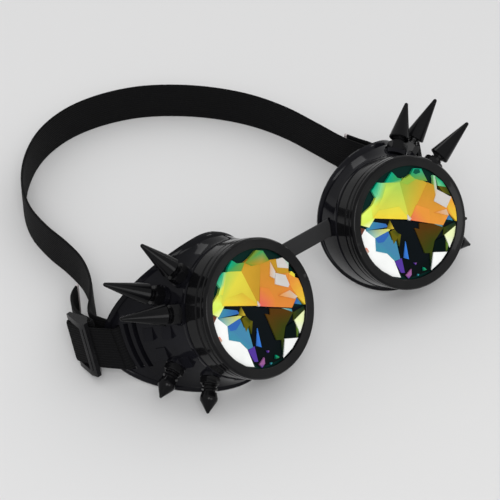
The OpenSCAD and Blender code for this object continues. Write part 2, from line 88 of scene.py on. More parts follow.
LENS_Q, LENS_EDGE, FIT, GASKET_H = 0.00265, 0.0022, 0.00005, 0.0008
gasket_q = LENS_Q + LENS_EDGE + FIT + GASKET_H / 2
gasket_low, gasket_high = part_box("right_lens_gasket")
RING_FRONT = np.array((gasket_low + gasket_high) / 2) + gasket_q * LENS_OUT
MID_Y, LENS_Z = -RING_FRONT[1], RING_FRONT[2]


def cup_point(u, v, q, side=1):
    """Point of a cup: the ring front's centre, plus u and v along the cup's own ways, less the
    depth q along the lens axis. The left cup, side -1, has the opposite x."""
    along = np.multiply.outer(u, TEMPLE_WAY) + np.multiply.outer(v, UP_WAY)
    point = RING_FRONT + along - np.multiply.outer(q, LENS_OUT)
    return point * np.array([side, 1, 1])


print("centre of the right ring's front:", cup_point(0, 0, 0).round(4))

# %% [markdown]
# The camera comes first, because everything else is judged through it. The photograph was matched
# with a long lens about 0.77 m away, 40 degrees above the table and 41 degrees to the left of
# the front. It looks straight along its own axis, so it needs no shift.

# %% Camera
AZIMUTH, ELEVATION, DISTANCE = math.radians(-40.6), math.radians(40.0), 0.77
PIXELS_PER_METRE, PHOTO_PIXELS, SENSOR_MM = 2344.0, 500.0, 36.0
AIM_LEFT, AIM_UP, FAR_END = 0.0377, 0.00615, 20.0
view_out = np.array([math.sin(AZIMUTH) * math.cos(ELEVATION), -math.cos(AZIMUTH) * math.cos(ELEVATION),
                     math.sin(ELEVATION)])
view_right = np.array([math.cos(AZIMUTH), math.sin(AZIMUTH), 0.0])
view_up = np.cross(view_out, view_right)
between_cups = np.array([0, -MID_Y, LENS_Z])
eye = DISTANCE * view_out - AIM_LEFT * view_right + AIM_UP * view_up + between_cups

cam_data = bpy.data.cameras.new("studio_camera")
cam = bpy.data.objects.new("studio_camera", cam_data)
bpy.context.scene.collection.objects.link(cam)
cam_data.sensor_width = SENSOR_MM
cam_data.lens = SENSOR_MM * PIXELS_PER_METRE * DISTANCE / PHOTO_PIXELS
cam_data.clip_end = FAR_END
cam.location = Vector(eye)
cam.rotation_euler = Vector(-view_out).to_track_quat("-Z", "Y").to_euler()
bpy.context.scene.camera = cam
print("focal length in mm:", round(cam_data.lens, 1))

# %% [markdown]
# The studio is a pale floor under a world that is bright overhead and darker at the horizon, as
# under a large ceiling panel, so the sides of gloss black stay deep while its upper edges shine.
# A soft panel beside the camera throws its shadows away from the viewer, so only faint ones are
# seen. Three cards show only in reflections, where the photograph has its bright edges.

# %% World
STUDIO_GREYS = [(0.0, 0.55), (0.25, 0.71), (0.5, 0.825)]


def studio_world(stops):
    """World whose grey depends only on how far a direction points up: stops are (height, grey),
    with the height from 0 at the horizon to 1 overhead."""
    world = bpy.data.worlds.new("studio_world")
    world.use_nodes = True
    nodes, links = world.node_tree.nodes, world.node_tree.links
    height = nodes.new("ShaderNodeSeparateXYZ")
    links.new(nodes.new("ShaderNodeTexCoord").outputs["Generated"], height.inputs["Vector"])
    greys = nodes.new("ShaderNodeValToRGB")
    while len(greys.color_ramp.elements) < len(stops):
        greys.color_ramp.elements.new(0.5)
    for element, (place, grey) in zip(greys.color_ramp.elements, stops):
        element.position, element.color = place, (grey, grey, grey, 1)
    links.new(height.outputs["Z"], greys.inputs["Fac"])
    links.new(greys.outputs["Color"], nodes["Background"].inputs["Color"])
    bpy.context.scene.world = world


studio_world(STUDIO_GREYS)
print("greys of the world from horizon to zenith:", [grey for _, grey in STUDIO_GREYS])

# %% [markdown]
# Each lamp is a square soft panel. Size and distance set how soft its shadow is, and its power
# in watts how bright it is. A card is a lamp that diffuse surfaces don't see, so it adds a glint
# to the gloss and nothing to the floor.

# %% Lights
FLOOR_SIZE, FLOOR_GAP = 8, 0.0002
PANEL_PLACE, PANEL_AIM, PANEL_SIZE, PANEL_WATTS = (-1.2, -1.6, 1.75), (0, -0.05, 0.02), 1.2, 26.0
CARD_AIM = (0, -0.03, 0.02)
CARDS = [("front_card", (-0.11, -1.26, 0.59), 0.6, 4.0), ("rear_card", (0.43, 0.87, 1.0), 0.5, 2.6),
         ("side_card", (1.1, -0.1, 0.7), 0.2, 0.8)]


def area_light(name, place, target, size, watts):
    """Square soft light at place, aimed at target."""
    data = bpy.data.lights.new(name, "AREA")
    data.size, data.energy = size, watts
    lamp = bpy.data.objects.new(name, data)
    lamp.location = place
    lamp.rotation_euler = (Vector(target) - Vector(place)).to_track_quat("-Z", "Y").to_euler()
    bpy.context.scene.collection.objects.link(lamp)
    return lamp


area_light("camera_panel", PANEL_PLACE, PANEL_AIM, PANEL_SIZE, PANEL_WATTS)
for card_name, card_place, card_size, card_watts in CARDS:
    card = area_light(card_name, card_place, CARD_AIM, card_size, card_watts)
    card.visible_diffuse = False

bpy.ops.mesh.primitive_plane_add(size=FLOOR_SIZE, location=(0, 0, -FLOOR_GAP))
floor = bpy.context.object
floor.name = "studio_floor"
print("lamps: 1 panel and", len(CARDS), "cards")

# %% [markdown]
# A few helpers keep each finish short. Most of them add one node to a material and return its
# output, so a finish reads as a chain of them.

# %% Shader helpers
def new_material(name):
    """Node material with a Principled shader; returns the material, its nodes and links."""
    mat = bpy.data.materials.new(name)
    mat.use_nodes = True
    return mat, mat.node_tree.nodes, mat.node_tree.links


def object_space(nodes):
    """Object coordinates, in metres."""
    return nodes.new("ShaderNodeTexCoord").outputs["Object"]


def noise(nodes, links, vector, scale, detail=3.0):
    """Noise texture on the given vector output."""
    tex = nodes.new("ShaderNodeTexNoise")
    tex.inputs["Scale"].default_value = scale
    tex.inputs["Detail"].default_value = detail
    links.new(vector, tex.inputs["Vector"])
    return tex.outputs["Fac"]


def ramp(nodes, links, factor, stops):
    """Colour ramp through (place, colour) stops."""
    node = nodes.new("ShaderNodeValToRGB")
    for element, (place, colour) in zip(node.color_ramp.elements, stops):
        element.position = place
        element.color = (*colour, 1)
    links.new(factor, node.inputs["Fac"])
    return node.outputs["Color"]


def map_range(nodes, links, value, low, high, start=0.0):
    """Value between start and 1, spread evenly over low to high."""
    node = nodes.new("ShaderNodeMapRange")
    node.inputs["From Min"].default_value = start
    node.inputs["To Min"].default_value = low
    node.inputs["To Max"].default_value = high
    links.new(value, node.inputs["Value"])
    return node.outputs["Result"]


def bump(nodes, links, height, strength, distance, under=None):
    """Bump of the given height output, distance in metres, laid over another bump if one is given."""
    node = nodes.new("ShaderNodeBump")
    node.inputs["Strength"].default_value = strength
    node.inputs["Distance"].default_value = distance
    links.new(height, node.inputs["Height"])
    if under:
        links.new(under, node.inputs["Normal"])
    return node.outputs["Normal"]


# %% [markdown]
# The floor is matt and pale grey, as in the photograph, with the faintest mottling so that it
# isn't dead flat.

# %% Floor finish
FLOOR_DARK, FLOOR_LIGHT = (0.715, 0.715, 0.717), (0.73, 0.73, 0.732)
floor_mat, nodes, links = new_material("pale_floor")
shader = nodes["Principled BSDF"]
mottle = noise(nodes, links, object_space(nodes), scale=1.5)
links.new(ramp(nodes, links, mottle, [(0.0, FLOOR_DARK), (1.0, FLOOR_LIGHT)]), shader.inputs["Base Color"])
shader.inputs["Roughness"].default_value = 0.9
shader.inputs["Specular IOR Level"].default_value = 0.1
floor.data.materials.append(floor_mat)
print("floor greys:", FLOOR_DARK, "to", FLOOR_LIGHT)

# %% [markdown]
# Moulded plastic is never one flat black. Slow noise mixes two close blacks and swells the
# surface a little, as cooling in the mould does, and fine noise makes the gloss uneven. A clear
# coat over a dull base gives the sharp glints that polished moulds leave.

# %% Moulded black
SLOW_NOISE, FINE_NOISE, GRAIN = 45, 1400, 0.000004


def moulded_black(name, dark, light, rough, coat, swell):
    """Black plastic: two close blacks, a roughness round the one given, the clear coat's weight
    and the height of the slow swell in metres."""
    mat, nodes, links = new_material(name)
    shader = nodes["Principled BSDF"]
    space = object_space(nodes)
    slow = noise(nodes, links, space, SLOW_NOISE, detail=4)
    fine = noise(nodes, links, space, FINE_NOISE, detail=2)
    links.new(ramp(nodes, links, slow, [(0.35, dark), (0.7, light)]), shader.inputs["Base Color"])
    links.new(map_range(nodes, links, fine, rough - 0.05, rough + 0.07), shader.inputs["Roughness"])
    shader.inputs["Coat Weight"].default_value = coat
    shader.inputs["Coat Roughness"].default_value = 0.04
    shader.inputs["Coat IOR"].default_value = 1.25
    shader.inputs["IOR"].default_value = 1.35
    shader.inputs["Specular IOR Level"].default_value = 0.08
    swollen = bump(nodes, links, slow, strength=0.5, distance=swell)
    grained = bump(nodes, links, fine, strength=0.3, distance=GRAIN, under=swollen)
    links.new(grained, shader.inputs["Normal"])
    return mat


# %% [markdown]
# The shells, rings, spikes and nuts are one family of black plastic with small differences: the
# cups and the sides of the rings are the glossiest, the rings' front faces are a little duller
# with a lighter black that is painted light, as they face the lamps, and the bridge is satin.

# %% Black finishes
shell_black = moulded_black("shell_gloss_black", (0.004, 0.004, 0.0052), (0.0075, 0.0075, 0.01),
                            rough=0.11, coat=0.3, swell=0.00012)
ring_black = moulded_black("ring_gloss_black", (0.003, 0.003, 0.0035), (0.006, 0.006, 0.0065),
                           rough=0.16, coat=0.4, swell=0.00004)
# The rings' front faces are duller, and their lighter black is painted light where they face the lamps.
face_satin_painted_light = moulded_black("ring_face_satin_painted_light", (0.008, 0.008, 0.0083), (0.014, 0.014, 0.0143),
                           rough=0.3, coat=0.42, swell=0.00004)
spike_black = moulded_black("spike_gloss_black", (0.003, 0.003, 0.0035), (0.0055, 0.0055, 0.006),
                            rough=0.18, coat=0.35, swell=0.00003)
nut_black = moulded_black("nut_gloss_black", (0.003, 0.003, 0.0035), (0.006, 0.006, 0.0065),
                          rough=0.22, coat=0.4, swell=0.00003)
slider_black = moulded_black("slider_gloss_black", (0.005, 0.005, 0.0055), (0.009, 0.009, 0.01),
                             rough=0.26, coat=0.35, swell=0.00003)
bridge_black = moulded_black("bridge_satin_black", (0.028, 0.028, 0.029), (0.036, 0.036, 0.037),
                             rough=0.42, coat=0.1, swell=0.00006)
gasket_black = moulded_black("gasket_rubber", (0.02, 0.02, 0.02), (0.03, 0.03, 0.03),
                             rough=0.65, coat=0.0, swell=0.00003)
print("materials so far:", len(bpy.data.materials))

# %% [markdown]
# The CAD meshes are loose triangles with flat shading. A merged copy can be shaded smoothly with
# its true edges kept sharp, and a narrow bevel on those edges catches the light as a mould's
# radius does. Each copy stands for its CAD node and rides on the same body.

# %% Smooth copies of the CAD nodes
SAME_POINT, SLIVER, SHARP = 2e-6, 1e-6, math.radians(32)


def smooth_copy(node, material, bevel):
    """Copy of a CAD node with its doubles merged, the edges that turn more than SHARP marked, and a
    bevel of the given width on them."""
    source = frame["nodes"][node]
    mesh = source.data.copy()
    shape = bmesh.new()
    shape.from_mesh(mesh)
    bmesh.ops.remove_doubles(shape, verts=shape.verts, dist=SAME_POINT)
    bmesh.ops.dissolve_degenerate(shape, edges=shape.edges, dist=SLIVER)
    for face in shape.faces:
        face.smooth = True
    for edge in shape.edges:
        edge.smooth = len(edge.link_faces) == 2 and edge.calc_face_angle(0) < SHARP
    shape.to_mesh(mesh)
    shape.free()
    mesh.materials.clear()
    mesh.materials.append(material)
    piece = bpy.data.objects.new(node + "_finished", mesh)
    bpy.context.scene.collection.objects.link(piece)
    if bevel:
        mod = piece.modifiers.new("moulded_edge", "BEVEL")
        mod.width, mod.segments = bevel, 2
        mod.limit_method, mod.angle_limit = "ANGLE", SHARP
    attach(piece, source["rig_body"])
    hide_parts(node)


# %% [markdown]
# One table says for each kind of piece its material slot, its finish and the width of its moulded
# edges. The screw rings and sliders have the roundest edges in the photograph.

# %% Finish every plain piece
FINE_EDGE, NUT_EDGE, SLIDER_EDGE, RING_EDGE, NO_EDGE = 0.0002, 0.00018, 0.0004, 0.0006, 0.0
SPIKES = ("upper_spike", "rear_spike", "front_spike", "rear_stud", "front_stud")
FINISHES = {
    "eye_cup": ("cup_shell", shell_black, FINE_EDGE),
    "lens_ring": ("screw_ring", ring_black, RING_EDGE),
    **{spike: ("spike", spike_black, FINE_EDGE) for spike in SPIKES},
    "spike_nuts": ("hex_nut", nut_black, NUT_EDGE),
    "strap_slider": ("slider", slider_black, SLIDER_EDGE),
    "lens_gasket": ("gasket", gasket_black, NO_EDGE),
}
for side_name in ("left", "right"):
    for part_name, (slot_name, finish, edge_width) in FINISHES.items():
        smooth_copy(side_name + "_" + part_name, finish, edge_width)
print("finished CAD nodes:", 2 * len(FINISHES))

# %% [markdown]
# The front face of a screw ring is duller than its side, and its lighter black is painted light,
# as these faces look forward and up towards the lamps. Its faces are found by their direction:
# those that look out along the lens axis get the second material.

# %% Satin faces of the rings, with painted light
FACE_COSINE = 0.8
for side_name, side in (("left", -1), ("right", 1)):
    ring_mesh = bpy.data.objects[side_name + "_lens_ring_finished"].data
    ring_mesh.materials.append(face_satin_painted_light)
    normals = np.zeros(len(ring_mesh.polygons) * 3)
    ring_mesh.polygons.foreach_get("normal", normals)
    forward = normals.reshape(-1, 3) @ (LENS_OUT * [side, 1, 1]) > FACE_COSINE
    ring_mesh.polygons.foreach_set("material_index", forward.astype(np.int32))
    print(side_name, "ring: satin faces", int(forward.sum()), "of", len(forward))

# %% [markdown]
# A cut lens shows the film behind it through dozens of facets, each with a colour that shifts
# across it. So the lens is built as real shards: each is a small prism whose top corners lie on
# a low dome. Above a slanting split line lies a warm fan, below it dark, blue and white shards.
# The fan differs between the two lenses, because a film changes its colour with the angle of
# view. The shards are drawn on the unit disc, and each corner has its own tone, written
# from 0 to 255 as a screen shows it.

# %% Tones
def tone(red, green, blue):
    """Linear colour of a tone written from 0 to 255 as a screen shows it: its share of 255 to the
    power of 2.4, with a straight foot for the darkest shares."""
    share = np.array([red, green, blue], float) / 255
    return np.where(share > 0.04045, ((share + 0.055) / 1.055) ** 2.4, share / 12.92)


TEAL, JADE, MINT, PINE = tone(2, 163, 126), tone(50, 158, 94), tone(122, 212, 150), tone(6, 40, 36)
LIME, LEAF, MOSS, OLIVE = tone(166, 206, 88), tone(112, 156, 62), tone(54, 64, 14), tone(96, 90, 14)
LEMON, CREAM, YELLOW, SUN = tone(214, 236, 92), tone(240, 250, 190), tone(222, 212, 70), tone(238, 210, 60)
OCHRE, GOLD, AMBER, ORANGE = tone(190, 144, 42), tone(212, 182, 58), tone(228, 176, 56), tone(229, 149, 60)
CORAL, RUST, BROWN, PEACH = tone(230, 110, 82), tone(110, 64, 50), tone(84, 54, 12), tone(212, 180, 150)
PEARL, WHITE, INK, NAVY = tone(206, 202, 198), tone(246, 248, 246), tone(7, 14, 16), tone(10, 16, 24)
BLUE, SKY, ICE, AZURE = tone(50, 100, 176), tone(64, 141, 165), tone(166, 204, 182), tone(54, 122, 216)
VIOLET, PINK, BLACK_GREEN = tone(84, 56, 154), tone(154, 94, 148), tone(0, 14, 12)
HONEY, ROSE, FERN = tone(206, 160, 48), tone(224, 96, 92), tone(118, 144, 44)
WILLOW, CITRON, GLADE = tone(176, 174, 52), tone(222, 248, 110), tone(146, 184, 66)
APRICOT, TANGERINE = tone(200, 141, 46), tone(223, 133, 58)
STEEL, FOREST = tone(68, 132, 168), tone(8, 84, 66)
print("teal as a linear colour:", TEAL.round(3))

# %% [markdown]
# Later shards lie on earlier ones by a hair, so an outline can run under its neighbour.

# %% Shards
LEFT_FAN = [
    ([(-0.95, 0.36), (-0.86, 0.50), (-0.66, 0.60), (-0.64, 0.38), (-0.85, 0.25)],
     [LEMON, CITRON, YELLOW, LEMON, CREAM]),
    ([(-0.64, 0.80), (-0.46, 0.87), (-0.40, 0.86), (-0.60, 0.62)], [TEAL, TEAL, MINT, MINT]),
    ([(-0.36, 0.84), (-0.30, 0.90), (-0.18, 0.97), (-0.11, 0.88), (0.04, 0.83), (-0.08, 0.72)],
     [JADE, TEAL, TEAL, JADE, LEAF, LEAF]),
    ([(-0.70, 0.38), (-0.69, 0.59), (-0.55, 0.72), (-0.42, 0.86), (-0.30, 0.82), (-0.09, 0.73),
      (-0.02, 0.06)],
     [YELLOW, LEMON, LIME, LIME, YELLOW, YELLOW, GOLD]),
    ([(-0.70, 0.38), (-0.58, 0.46), (-0.24, 0.40), (-0.02, 0.06)], [SUN, YELLOW, GOLD, AMBER]),
    ([(-0.69, 0.59), (-0.55, 0.72), (-0.42, 0.86), (-0.36, 0.84), (-0.52, 0.66), (-0.62, 0.54)],
     [LEMON, MINT, MINT, LIME, YELLOW, YELLOW]),
    ([(-0.09, 0.73), (0.04, 0.83), (0.20, 0.86), (0.34, 0.68), (-0.02, 0.06)],
     [HONEY, OCHRE, OCHRE, OCHRE, OCHRE]),
    ([(0.34, 0.68), (0.52, 0.65), (0.68, 0.60), (0.83, 0.28), (0.76, 0.06), (0.82, -0.17), (0.63, -0.29),
      (-0.02, 0.05)],
     [APRICOT, APRICOT, OCHRE, ORANGE, TANGERINE, TANGERINE, TANGERINE, TANGERINE]),
    ([(-0.02, 0.05), (0.14, 0.33), (0.30, 0.22), (0.34, 0.02), (0.30, -0.12)], [ROSE] + [TANGERINE] * 4),
    # The small pale kite at the apex is a painted highlight: the lamps' flare on the cut point.
    ([(-0.05, 0.09), (-0.02, 0.15), (0.02, 0.05), (-0.03, 0.05)], [PEACH, PEARL, ROSE, PEARL]),
    ([(0.04, 0.82), (0.36, 0.91), (0.49, 0.84), (0.53, 0.64), (0.34, 0.66), (0.14, 0.72)],
     [FERN, FERN, JADE, FERN, OCHRE, FERN]),
    ([(0.55, 0.61), (0.68, 0.60), (0.72, 0.44), (0.86, 0.34), (0.83, 0.27), (0.60, 0.36)], [OCHRE] * 6),
    ([(0.76, 0.06), (0.83, 0.28), (0.92, 0.15), (0.99, 0.09), (1.00, -0.10), (0.95, -0.40), (0.82, -0.17)],
     [ORANGE, ORANGE, ORANGE, ORANGE, AMBER, SUN, AMBER]),
    ([(0.83, 0.25), (0.90, 0.27), (0.95, 0.19), (0.92, 0.14)], [SUN, YELLOW, YELLOW, SUN]),
    ([(0.68, 0.59), (0.82, 0.56), (0.91, 0.42), (0.86, 0.34), (0.64, 0.46)],
     [PEARL, PEARL, ICE, PEARL, PEARL]),
    ([(0.54, 0.61), (0.56, 0.42), (0.49, 0.32), (0.42, 0.40)], [PEACH, PEARL, PEARL, PEACH]),
    ([(0.55, 0.40), (0.74, 0.27), (0.75, 0.09), (0.70, 0.06), (0.46, 0.23)], [PEARL] * 5),
    ([(0.44, 0.03), (0.71, 0.00), (0.82, -0.17), (0.75, -0.18)], [ORANGE, PEACH, PEARL, PEACH]),
]
RIGHT_FAN = [
    ([(-0.92, 0.36), (-0.84, 0.52), (-0.57, 0.60), (-0.60, 0.38), (-0.79, 0.26)],
     [LEMON, CITRON, LEMON, LEMON, CREAM]),
    ([(-0.49, 0.83), (-0.33, 0.92), (-0.26, 0.88), (-0.46, 0.64)], [TEAL, TEAL, MINT, MINT]),
    ([(-0.20, 0.84), (0.02, 0.97), (0.08, 0.83), (0.16, 0.78), (0.08, 0.72)],
     [TEAL, TEAL, JADE, JADE, LIME]),
    ([(-0.66, 0.38), (-0.61, 0.58), (-0.42, 0.72), (-0.26, 0.88), (0.09, 0.74), (0.01, 0.06)],
     [YELLOW, LEMON, LEMON, LIME, LIME, YELLOW]),
    ([(-0.66, 0.38), (-0.50, 0.46), (-0.10, 0.36), (0.01, 0.06)], [SUN, YELLOW, YELLOW, SUN]),
    ([(-0.59, 0.58), (-0.42, 0.72), (-0.26, 0.88), (-0.16, 0.84), (-0.34, 0.64), (-0.50, 0.52)],
     [LEMON, MINT, MINT, LIME, LIME, YELLOW]),
    ([(0.09, 0.74), (0.20, 0.78), (0.46, 0.66), (0.62, 0.50), (0.01, 0.06)],
     [GLADE, GLADE, WILLOW, HONEY, GOLD]),
    ([(0.09, 0.74), (0.35, 0.78), (0.44, 0.66), (0.22, 0.64)], [GLADE, GLADE, GLADE, GLADE]),
    ([(0.34, 0.77), (0.46, 0.85), (0.60, 0.78), (0.63, 0.53), (0.50, 0.60), (0.40, 0.68)],
     [JADE, TEAL, TEAL, LEAF, LEAF, JADE]),
    ([(0.41, 0.79), (0.47, 0.83), (0.56, 0.79), (0.55, 0.73), (0.45, 0.74)], [FOREST] * 5),
    ([(0.62, 0.51), (0.72, 0.42), (0.80, 0.20), (0.84, -0.07), (0.82, -0.20), (0.63, -0.33), (0.01, 0.05)],
     [OCHRE, OCHRE, AMBER, ORANGE, ORANGE, ORANGE, ORANGE]),
    ([(0.01, 0.05), (0.24, 0.24), (0.46, 0.06), (0.38, -0.18)], [CORAL, ORANGE, ORANGE, ORANGE]),
    # The small pale kite at the apex is a painted highlight: the lamps' flare on the cut point.
    ([(-0.03, 0.09), (0.00, 0.16), (0.05, 0.06), (0.00, 0.04)], [PEARL, PEARL, PEACH, PEARL]),
    ([(0.78, 0.58), (0.82, 0.55), (0.75, 0.30), (0.68, 0.22), (0.72, 0.40)],
     [MINT, ICE, PEARL, PEACH, LIME]),
    ([(0.82, 0.55), (0.92, 0.40), (0.96, 0.27), (0.81, 0.36)], [JADE, TEAL, JADE, MINT]),
    ([(0.81, 0.36), (0.96, 0.27), (0.99, 0.10), (0.86, 0.20)], [OLIVE, MOSS, MOSS, OLIVE]),
    ([(0.84, 0.00), (0.99, 0.08), (1.00, -0.15), (0.95, -0.42), (0.82, -0.17)],
     [AMBER, ORANGE, AMBER, SUN, ORANGE]),
    ([(0.76, 0.31), (0.99, 0.06), (0.81, -0.07), (0.61, 0.15)], [PEARL] * 4),
    ([(0.54, -0.04), (0.80, -0.09), (0.81, -0.22)], [ORANGE, PEACH, PEACH]),
]
LOWER = [
    ([(-0.68, 0.38), (0.01, 0.05), (0.64, -0.30), (0.90, -0.38), (0.62, -0.78), (0.12, -0.99),
      (-0.40, -0.91), (-0.54, -0.70), (-0.30, -0.20), (-0.50, 0.16)],
     [INK, INK, NAVY, NAVY, BLACK_GREEN, BLACK_GREEN, INK, INK, INK, INK]),
    ([(-0.96, 0.34), (-0.86, 0.26), (-0.90, 0.19), (-0.98, 0.17)], [RUST, RUST, MOSS, RUST]),
    ([(-0.98, 0.17), (-0.86, 0.26), (-0.74, 0.03), (-0.81, -0.19), (-0.62, -0.32), (-0.53, -0.50),
      (-0.51, -0.84), (-0.66, -0.75), (-0.82, -0.56), (-0.93, -0.36), (-0.99, -0.10)], [WHITE] * 11),
    ([(-1.00, -0.04), (-0.95, -0.06), (-0.93, -0.14), (-0.985, -0.17)], [PEACH, CORAL, PEACH, PEARL]),
    ([(-0.71, 0.34), (-0.45, 0.18), (-0.43, 0.11), (-0.86, 0.23)], [SKY, BLUE, BLUE, SKY]),
    ([(-0.86, 0.23), (-0.38, 0.06), (-0.46, 0.03), (-0.74, 0.03)], [SKY, YELLOW, LIME, ICE]),
    ([(-0.35, 0.20), (-0.33, 0.03), (-0.40, 0.05), (-0.47, 0.10)], [OLIVE, GOLD, OLIVE, OLIVE]),
    ([(-0.74, 0.03), (-0.46, 0.04), (-0.45, -0.14), (-0.37, -0.15), (-0.41, -0.52), (-0.52, -0.51),
      (-0.62, -0.32), (-0.81, -0.19)], [STEEL, STEEL, STEEL, SKY, STEEL, SKY, SKY, SKY]),
    ([(-0.74, 0.03), (-0.46, 0.04), (-0.47, -0.03), (-0.61, -0.10), (-0.72, -0.07)], [BLUE] * 5),
    ([(-0.42, 0.02), (-0.33, 0.02), (-0.29, -0.07), (-0.24, -0.12), (-0.35, -0.31), (-0.33, -0.15),
      (-0.44, -0.22), (-0.43, -0.10)], [OLIVE, OLIVE, MOSS, OLIVE, MOSS, OLIVE, OLIVE, OLIVE]),
    ([(-0.53, -0.52), (-0.38, -0.52), (-0.41, -0.79), (-0.48, -0.76)], [VIOLET] * 4),
    ([(-0.20, -0.27), (-0.25, -0.60), (-0.34, -0.53)], [AZURE, AZURE, BLUE]),
    ([(0.19, -0.09), (0.63, -0.31), (0.64, -0.38), (0.37, -0.52), (0.24, -0.70), (0.10, -0.64),
      (0.06, -0.13), (0.15, -0.19)], [BROWN, BROWN, MOSS, MOSS, MOSS, MOSS, BROWN, BROWN]),
    ([(0.21, -0.68), (0.26, -0.70), (0.13, -0.92)], [MOSS, MOSS, PINE]),
    ([(0.43, -0.20), (0.63, -0.31), (0.62, -0.36)], [ICE, SKY, SKY]),
    ([(0.82, -0.18), (0.88, -0.35), (0.73, -0.26)], [BLUE, SKY, BLUE]),
    ([(0.64, -0.38), (0.92, -0.39), (0.90, -0.46), (0.58, -0.51)], [MOSS, PINE, MOSS, MOSS]),
    ([(0.90, -0.46), (0.80, -0.62), (0.63, -0.77), (0.61, -0.51)], [CREAM, CREAM, WHITE, CREAM]),
    ([(0.37, -0.52), (0.59, -0.53), (0.58, -0.71), (0.51, -0.80), (0.27, -0.69)], [BLACK_GREEN] * 5),
    ([(0.59, -0.60), (0.62, -0.70), (0.56, -0.80), (0.52, -0.80)], [MOSS, LEAF, MOSS, MOSS]),
    ([(0.27, -0.70), (0.55, -0.82), (0.36, -0.92), (0.12, -0.98)], [WHITE] * 4),
    ([(-0.27, -0.78), (-0.30, -0.88), (-0.38, -0.92), (-0.41, -0.84)], [PINK, PINK, VIOLET, PINK]),
    ([(-0.02, -0.86), (0.03, -0.93), (-0.06, -0.92)], [TEAL, JADE, PINE]),
    ([(-0.18, -0.70), (-0.13, -0.72), (-0.16, -0.75)], [VIOLET, PINK, VIOLET]),
    ([(-0.18, -0.92), (-0.15, -0.94), (-0.18, -0.96)], [SKY, TEAL, SKY]),
]
print("shards on each lens:", len(LOWER) + len(LEFT_FAN), len(LOWER) + len(RIGHT_FAN))

# %% [markdown]
# Each shard becomes a closed prism. The base of the lens is a turned disc that seats in the
# ring. Both go into one mesh, with the tone of every corner in a colour attribute.

# %% Shape of a shard
OPEN_R, DOME_FOOT, DOME_H, SHARD_STEP, SHARD_SINK = 0.0248, 0.0003, 0.0014, 0.00003, 0.0002


def dome(x, y):
    """Height of the dome over the girdle: highest in the middle, falling as the square of the radius."""
    return DOME_FOOT + (DOME_H - DOME_FOOT) * np.clip(1 - (x * x + y * y), 0, 1)


def shard_prism(corners, tones, layer):
    """Points, faces and corner tones of one shard: its outline on the dome and again a little below
    the girdle. The outline is turned round if its signed area is negative, so the top faces out."""
    xy, tones = np.array(corners, float), np.array(tones)
    next_x, next_y = np.roll(xy, -1, 0).T
    if (xy[:, 0] * next_y - next_x * xy[:, 1]).sum() < 0:
        xy, tones = xy[::-1], tones[::-1]
    count = len(xy)
    top = np.c_[xy * OPEN_R, dome(*xy.T) + layer * SHARD_STEP]
    low = np.c_[xy * OPEN_R, np.full(count, -SHARD_SINK)]
    here = np.arange(count)
    after = (here + 1) % count
    sides = np.stack([here, count + here, count + after, after], -1)
    faces = [list(here), list(count + here[::-1])] + sides.tolist()
    return np.vstack([top, low]), faces, np.vstack([tones, tones])


print("height of the dome in mm: middle", dome(0, 0) * 1000, "edge", dome(1, 0) * 1000)

# %% [markdown]
# The disc is a half section turned round the lens axis. Its first and last points lie on the axis,
# so they become the two poles that close it.

# %% Shape of the base disc
LENS_R, DISC_BEVEL, DISC_STEPS = 0.0266, 0.0003, 96


def disc_profile():
    """Half section of the base disc as (radius, height) points, from the front's middle to the back's."""
    flat = LENS_R - DISC_BEVEL
    return np.array([(0.0, 0.0), (flat, 0.0), (LENS_R, -DISC_BEVEL), (LENS_R, DISC_BEVEL - LENS_EDGE),
                     (flat, -LENS_EDGE), (0.0, -LENS_EDGE)])


def turned_solid(profile, count):
    """Closed solid of revolution: each inner profile point goes round in count steps, and the first
    and last points are poles."""
    angle = np.arange(count) * 2 * np.pi / count
    rings = profile[1:-1]
    ring_points = np.stack([np.outer(rings[:, 0], np.cos(angle)), np.outer(rings[:, 0], np.sin(angle)),
                            np.repeat(rings[:, 1:], count, 1)], -1).reshape(-1, 3)
    points = np.vstack([[0, 0, profile[0, 1]], ring_points, [0, 0, profile[-1, 1]]])
    here = np.arange(count)
    after = (here + 1) % count
    faces = np.stack([np.zeros(count, int), 1 + here, 1 + after], -1).tolist()
    for ring in range(len(rings) - 1):
        first = 1 + ring * count
        second = first + count
        faces += np.stack([first + here, second + here, second + after, first + after], -1).tolist()
    last = len(points) - 1
    rear = last - count
    faces += np.stack([np.full(count, last), rear + after, rear + here], -1).tolist()
    return points, faces


disc_points, disc_faces = turned_solid(disc_profile(), DISC_STEPS)
print("base disc: points", len(disc_points), "faces", len(disc_faces))

# %% [markdown]
# The lens finish reads the shard's tone and adds a thin clear coat, so the facets keep their
# colour and still flash with the lights. A faint haze takes the paint-like evenness away.

# %% Lens finish
lens_mat, nodes, links = new_material("cut_rainbow_glass")
shader = nodes["Principled BSDF"]
shard_tone = nodes.new("ShaderNodeAttribute")
shard_tone.attribute_name = "shard_tone"
haze = noise(nodes, links, object_space(nodes), scale=160)
hazed = nodes.new("ShaderNodeMix")
hazed.data_type, hazed.blend_type = "RGBA", "MULTIPLY"
hazed.inputs["Factor"].default_value = 1.0
links.new(shard_tone.outputs["Color"], hazed.inputs["A"])
links.new(ramp(nodes, links, haze, [(0.3, (0.94, 0.94, 0.94)), (0.7, (1, 1, 1))]), hazed.inputs["B"])
links.new(hazed.outputs["Result"], shader.inputs["Base Color"])
links.new(map_range(nodes, links, haze, low=0.1, high=0.2), shader.inputs["Roughness"])
shader.inputs["Coat Weight"].default_value = 0.06
shader.inputs["Coat Roughness"].default_value = 0.03
shader.inputs["Specular IOR Level"].default_value = 0.03
print("lens finish:", lens_mat.name)

# %% [markdown]
# The disc and its shards are joined in one mesh and set into the cup's frame. The pattern isn't
# mirrored between the lenses, so x runs to the viewer's right on both.

